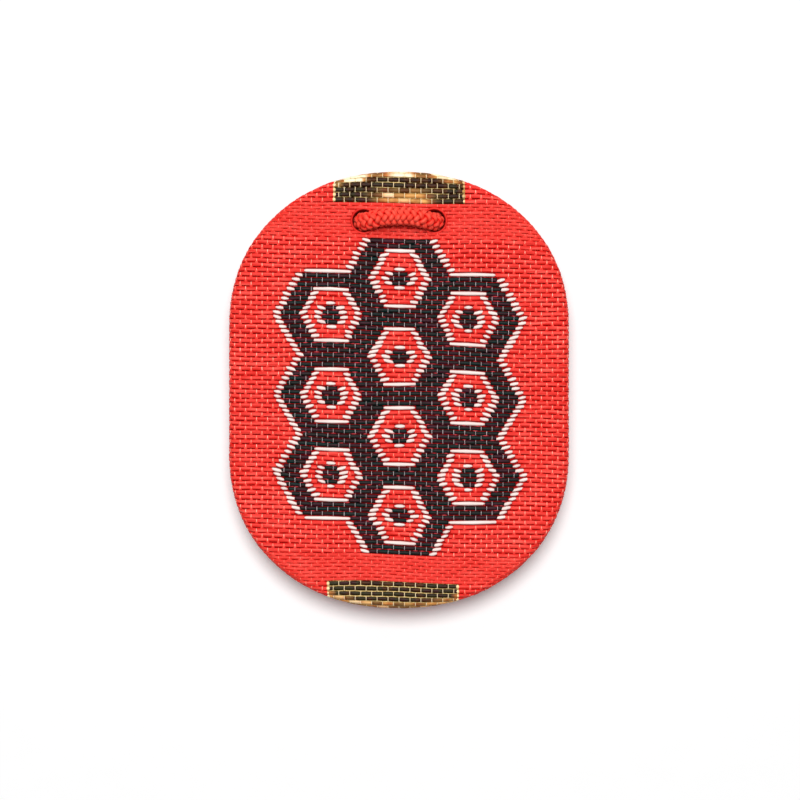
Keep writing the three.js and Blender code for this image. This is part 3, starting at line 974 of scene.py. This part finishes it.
def strand_points(side):
    """The bend behind its hole, its way down, its half of the knot, and its tail."""
    knot_z = LYING_Z + KNOT_RISE_SHARE * CORD

    def in_knot(far, up, out):
        return (-side * far * CORD, KNOT_Y + up * CORD, knot_z - side * out * CORD)

    back = [(far, -up, out) for far, up, out in KNOT_SHARES[::-1]]
    knot = [in_knot(*p) for p in [*KNOT_SHARES, BIGHT_SHARE, *back]]
    tail = [in_knot(far, up, -side * out) for far, up, out in TAIL_SHARES]
    bend = [exit_point(side, angle) for angle in (SPLIT, SPLIT * 1.5, math.pi / 2)]
    way = [(side * x, y, LYING_Z) for x, y in STRAND_ROUTE]
    turn = (side * STRAND_TURN[0], STRAND_TURN[1], (2 * LYING_Z + knot[0][2]) / 3)
    return [*bend, *way, turn, *knot, *tail]


def frames_along(path):
    """A sideways and an upward direction at each point, that turn as little as they can."""
    tangent = np.gradient(path, axis=0)
    tangent /= np.linalg.norm(tangent, axis=1)[:, None]
    across = np.zeros_like(path)
    first = np.cross(tangent[0], (0.3, 0.2, 1))
    across[0] = first / np.linalg.norm(first)
    for i in range(1, len(path)):
        step = across[i - 1] - tangent[i] * np.dot(across[i - 1], tangent[i])
        across[i] = step / np.linalg.norm(step)
    return across, np.cross(tangent, across)


def turned(turn, across, upward):
    """Directions square to a path, turned from across towards upward."""
    return np.cos(turn)[:, None] * across + np.sin(turn)[:, None] * upward


def tube_rings(centre, wide, thick, sides):
    """Rings round a path, with a point at each angle in sides. wide and thick are their half axes."""
    ring = np.cos(sides)[None, :, None] * wide[:, None] + np.sin(sides)[None, :, None] * thick[:, None]
    return (centre[:, None] + ring).reshape(-1, 3)


left_path = catmull_rom(strand_points(-1), 0.1)[::-1]
stitch_middle = (0, HOLE_Y + STITCH_ARCH, STITCH_TOP)
stitch_path = catmull_rom([*leg_points(-1), stitch_middle, *leg_points(1)[::-1]], 0.07)
right_path = catmull_rom(strand_points(1), 0.1)
whole_path = np.concatenate([left_path[:-1], stitch_path[:-1], right_path])
whole_travel = travel_along(whole_path)
whole_across, whole_upward = frames_along(whole_path)
left_end = len(left_path)
stitch_end = left_end + len(stitch_path) - 1
PARTS = {
    "left": (0, left_end),
    "stitch": (left_end - 1, stitch_end),
    "right": (stitch_end - 1, len(whole_path)),
}
YARN_SIDES = 8
YARN_CENTRE = 0.74
YARN_WAVE = 0.3
YARN_THICK = 0.26
YARN_WIDE = 0.36
CORE_RADIUS = 0.5
CORE_SIDES = 10
BRAID_TURN = math.radians(5)
END_TAPER = 0.5  # the length in which the braid closes at the end of each tail


def braid(name, part):
    """Eight yarns in a round braid, four each way, each over one and under one, on a core coloured dark as
    painted shade in the gaps.
    """
    low, high = PARTS[part]
    path = whole_path[low:high]
    travel = whole_travel[low:high]
    across, upward = whole_across[low:high], whole_upward[low:high]
    to_end = np.minimum(travel, whole_travel[-1] - travel)
    taper = np.clip(to_end / END_TAPER, 0, 1)[:, None] ** 0.5
    size = 0.25 + 0.75 * taper
    sides = 2 * math.pi * np.arange(YARN_SIDES) / YARN_SIDES - math.pi / 2
    count = len(path)
    vertices, faces, yarn, crown = [], [], [], []
    for way in (1, -1):
        for k in range(4):
            turn = way * 2 * math.pi * travel / BRAID_PITCH + k * math.pi / 2 + BRAID_TURN
            wave = way * np.cos(8 * math.pi * travel / BRAID_PITCH)[:, None]
            out = turned(turn, across, upward)
            radius = (YARN_CENTRE + YARN_WAVE * wave) * (0.35 + 0.65 * taper)
            centre = path + out * radius
            ahead = np.gradient(centre, axis=0)
            ahead /= np.linalg.norm(ahead, axis=1)[:, None]
            wide = np.cross(ahead, out)
            wide /= np.linalg.norm(wide, axis=1)[:, None]
            thick = np.cross(wide, ahead)
            first = len(vertices) * count * YARN_SIDES
            last = first + (count - 1) * YARN_SIDES
            vertices.append(tube_rings(centre, size * YARN_WIDE * wide, size * YARN_THICK * thick, sides))
            faces += (grid_faces(count, YARN_SIDES, closed=True) + first).tolist()
            faces.append(list(range(first, first + YARN_SIDES))[::-1])
            faces.append(list(range(last, last + YARN_SIDES)))
            place = np.broadcast_arrays(travel[:, None] * 1.6, sides * YARN_WIDE, k + way * 0.3)
            yarn.append(np.stack(place, -1).reshape(-1, 3))
            # Painted shade: crown falls on the sides of each yarn and where it passes under the others.
            crown.append((0.5 + 0.4 * np.sin(sides)[None] + 0.25 * wave).ravel())
    yarn_faces = len(faces)
    first = len(vertices) * count * YARN_SIDES
    core = CORE_RADIUS * taper
    core_sides = 2 * math.pi * np.arange(CORE_SIDES) / CORE_SIDES
    vertices.append(tube_rings(path, core * across, core * upward, core_sides))
    faces += (grid_faces(count, CORE_SIDES, closed=True) + first).tolist()
    yarn.append(np.zeros((count * CORE_SIDES, 3)))
    crown.append(np.zeros(count * CORE_SIDES))
    values = {"yarn": np.concatenate(yarn), "crown": np.concatenate(crown)}
    thing = make_object(name, np.concatenate(vertices), faces, [cord_yarn, cord_core], values)
    in_core = np.arange(len(faces)) >= yarn_faces
    thing.data.polygons.foreach_set("material_index", in_core.astype(np.int32))
    return thing


stitch_braid = braid("cord_stitch_braid", "stitch")
left_braid = braid("cord_left_braid", "left")
right_braid = braid("cord_right_braid", "right")


# Seam thread: two plies in ladder stitches between the folded edges

THREAD = 0.24
THREAD_SWING = 0.06
THREAD_TWIST = 0.9
THREAD_SIDES = 5
PLY_CENTRE_SHARE = 0.24
PLY_RADIUS_SHARE = 0.27
LADDER_PITCH = 6


def thread_path():
    """One round of the seam, swinging between the two folds."""
    reach = FOLD + THREAD / 2 + 0.04
    inset = FOLD - math.sqrt(reach**2 - (FOLD - THREAD_SWING) ** 2)
    ring = OUTLINE - NORMALS * inset
    ring = np.roll(ring, -3 * OUTLINE_STEPS // 4, 0)
    travel = travel_along(ring)
    count = 4 * round(travel[-1] / LADDER_PITCH)
    even = np.linspace(0, travel[-1], count, endpoint=False)
    swing = np.where(np.arange(count) % 4 < 2, THREAD_SWING, -THREAD_SWING)
    points = [np.interp(even, travel, ring[:, i]) for i in (0, 1)]
    return catmull_rom(np.stack([*points, SEAM_Z + swing], -1), 0.22)


def seam_thread():
    path = thread_path()
    travel = travel_along(path)
    across, upward = frames_along(path)
    sides = 2 * math.pi * np.arange(THREAD_SIDES) / THREAD_SIDES
    radius = THREAD * PLY_RADIUS_SHARE
    vertices, faces, yarn = [], [], []
    for ply in (0, 1):
        turn = 2 * math.pi * travel / THREAD_TWIST + ply * math.pi
        centre = path + turned(turn, across, upward) * THREAD * PLY_CENTRE_SHARE
        vertices.append(tube_rings(centre, radius * across, radius * upward, sides))
        first = ply * len(path) * THREAD_SIDES
        faces += (grid_faces(len(path), THREAD_SIDES, closed=True) + first).tolist()
        place = np.broadcast_arrays(travel[:, None], sides * 0.1, ply)
        yarn.append(np.stack(place, -1).reshape(-1, 3))
    yarn = np.concatenate(yarn)
    values = {"yarn": yarn, "crown": np.full(len(yarn), 0.7)}
    return make_object("seam_thread_plies", np.concatenate(vertices), faces, [thread_yarn], values)


seam_plies = seam_thread()


# Wadding: a felt sheet with a soft edge

def felt_pad():
    low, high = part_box("front_wadding")
    top = high.z / MM
    base = low.z / MM
    profile = [(0.66, base), (0.66, base + 0.06), (0.72, top - 0.2), (0.85, top - 0.06), (1.1, top)]
    return cut_holes(make_object("felt_wadding", *ring_shell(profile), [felt]), margin=0.3)


wadding = felt_pad()


# What moves with what

for piece in [front_cloth, back_cloth, *front_pieces, top_band, bottom_band, *band_extras]:
    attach(piece, "charm")
for piece in [*back_pieces, *hole_edges, seam_plies, wadding]:
    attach(piece, "charm")
# The stitch's legs take the first half of the bend behind the holes. The cord's braids keep their places,
# baked into their meshes.
for piece in (stitch_braid, left_braid, right_braid):
    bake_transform(piece)

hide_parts("front_cover")
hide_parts("back_cover")
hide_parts("top_gold_band")
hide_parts("bottom_gold_band")
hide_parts("cord_front_stitch")
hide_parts("cord_left_strand")
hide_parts("cord_right_strand")
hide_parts("seam_thread")
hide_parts("front_wadding")

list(hole_edges[:2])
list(hole_edges[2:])
for piece, side, path in ((left_braid, -1, left_path[::-1]), (right_braid, 1, right_path)):
    travel_along(path)[-1] * MM
    (path[::4] * MM).tolist()


# Studio

FLOOR_GLOW = 0.13  # what the camera sees on top of the light that the white floor gives back
FLOOR_REACH = 2000
SKY_STRENGTH = 0.08


def make_floor():
    n = Nodes("white_floor")
    grain = n.ramp(n.noise(n.place(), 300, 3), [(0, (0.98, 0.98, 0.98)), (1, (1, 1, 1))])
    rays = n.add("ShaderNodeLightPath").outputs
    seen = n.calculate("MAXIMUM", rays["Is Camera Ray"], rays["Is Glossy Ray"])
    seen = n.calculate("MAXIMUM", seen, rays["Is Transmission Ray"])
    glow = n.calculate("MULTIPLY", seen, FLOOR_GLOW)
    n.set(Base_Color=grain, Roughness=1, Specular_IOR_Level=0)
    n.set(Emission_Color=(1, 1, 1), Emission_Strength=glow)
    corners = [(x * FLOOR_REACH, y * FLOOR_REACH, FLOOR_Z) for x, y in ((-1, -1), (1, -1), (1, 1), (-1, 1))]
    floor = make_object("floor", corners, [[0, 1, 2, 3]], [n.material], smooth=False)


def make_light(name, tilt, towards, size, power):
    """A light one metre from the charm. tilt is measured from straight above, towards from +X."""
    data = bpy.data.lights.new(name, "AREA")
    data.shape = "DISK"
    data.size = size
    data.energy = power
    light = bpy.data.objects.new(name, data)
    bpy.context.scene.collection.objects.link(light)
    tilt, towards = math.radians(tilt), math.radians(towards)
    way = Vector((math.sin(tilt) * math.cos(towards), math.sin(tilt) * math.sin(towards), math.cos(tilt)))
    light.location = way
    light.rotation_mode = "QUATERNION"
    light.rotation_quaternion = way.to_track_quat("Z", "Y")
    return light


def keep_off_floor(light):
    """Lets a light that only brings out the weave fall on the charm and not on the floor."""
    others = bpy.data.collections.new("not_lit_by_" + light.name)
    others.objects.link(bpy.data.objects["floor"])
    others.collection_objects[0].light_linking.link_state = "EXCLUDE"
    light.light_linking.receiver_collection = others


make_floor()
make_light("key", tilt=11, towards=92, size=0.36, power=8.7)
keep_off_floor(make_light("rake", tilt=32, towards=95, size=0.25, power=4.2))
world = bpy.data.worlds.new("studio")
world.use_nodes = True
sky = world.node_tree.nodes["Background"].inputs
sky["Color"].default_value = (1, 1, 1, 1)
sky["Strength"].default_value = SKY_STRENGTH
bpy.context.scene.world = world
bpy.context.scene.view_settings.view_transform = "Standard"
